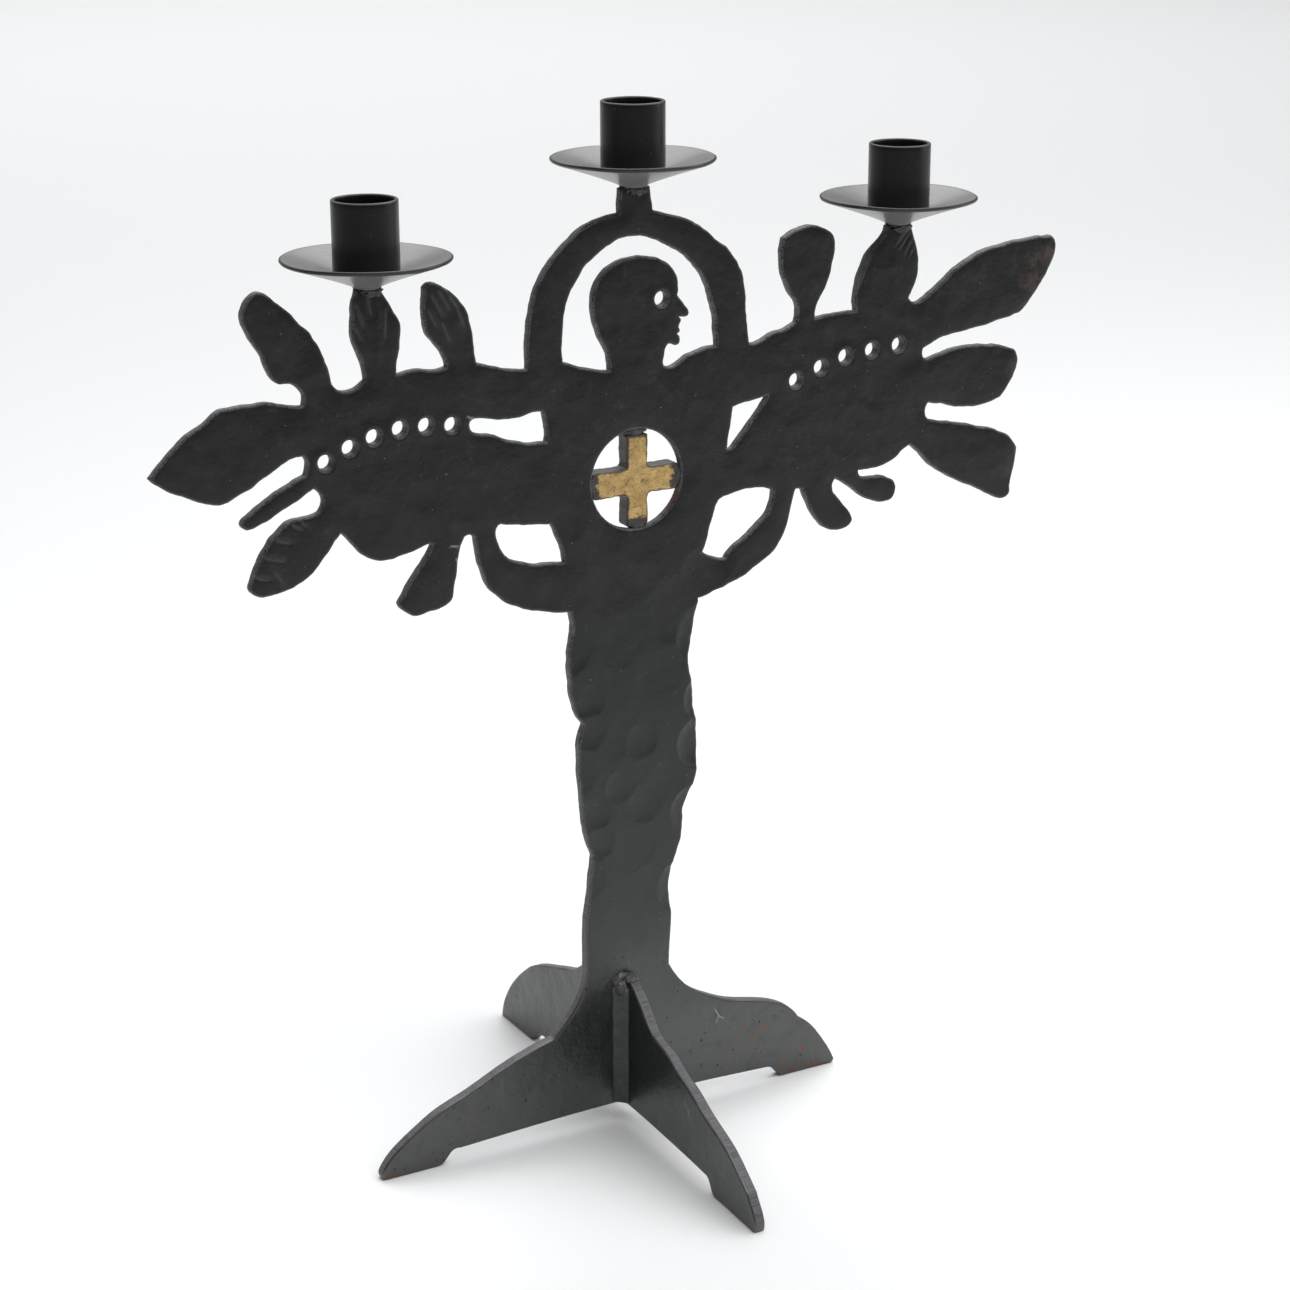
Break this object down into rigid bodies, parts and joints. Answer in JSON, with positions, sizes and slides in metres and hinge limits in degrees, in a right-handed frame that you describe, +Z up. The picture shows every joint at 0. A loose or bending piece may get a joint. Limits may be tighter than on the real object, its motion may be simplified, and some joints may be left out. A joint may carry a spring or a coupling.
{
  "type": "candelabra",
  "caption": "Steel plate candelabra: a tree figure with leafed branches, a haloed head and a brass chest cross, on crossed feet, with candle tubes standing in cone drip pans.",
  "frame": {"origin": "on the floor, midway between the ends of the branches and of the front and back feet", "axes": "+Z up, -Y out of the plate's front face, +X towards the side that the profile looks to"},
  "size_m": [0.4028, 0.2257, 0.4269],
  "materials": {
    "painted_plate": "semi-matt black over flame-cut steel",
    "painted_sheet": "satin black, dusty",
    "painted_tube": "semi-gloss black",
    "weld_metal": "rippled, painted over",
    "brass_plate": "worn and tarnished"
  },
  "bodies": {
    "root": {"figure_plate": "painted_plate", "front_foot": "painted_plate", "back_foot": "painted_plate", "chest_cross": "brass_plate", "cross_braze": "weld_metal", "drip_pan_left": "painted_sheet", "candle_socket_left": "painted_tube", "socket_braze_left": "weld_metal", "pan_weld_left": "weld_metal", "drip_pan_centre": "painted_sheet", "candle_socket_centre": "painted_tube", "socket_braze_centre": "weld_metal", "pan_weld_centre": "weld_metal", "drip_pan_right": "painted_sheet", "candle_socket_right": "painted_tube", "socket_braze_right": "weld_metal", "pan_weld_right": "weld_metal", "front_weld_left": "weld_metal", "front_weld_right": "weld_metal", "back_weld_left": "weld_metal", "back_weld_right": "weld_metal", "front_weld_cap": "weld_metal", "back_weld_cap": "weld_metal"}
  },
  "joints": []
}
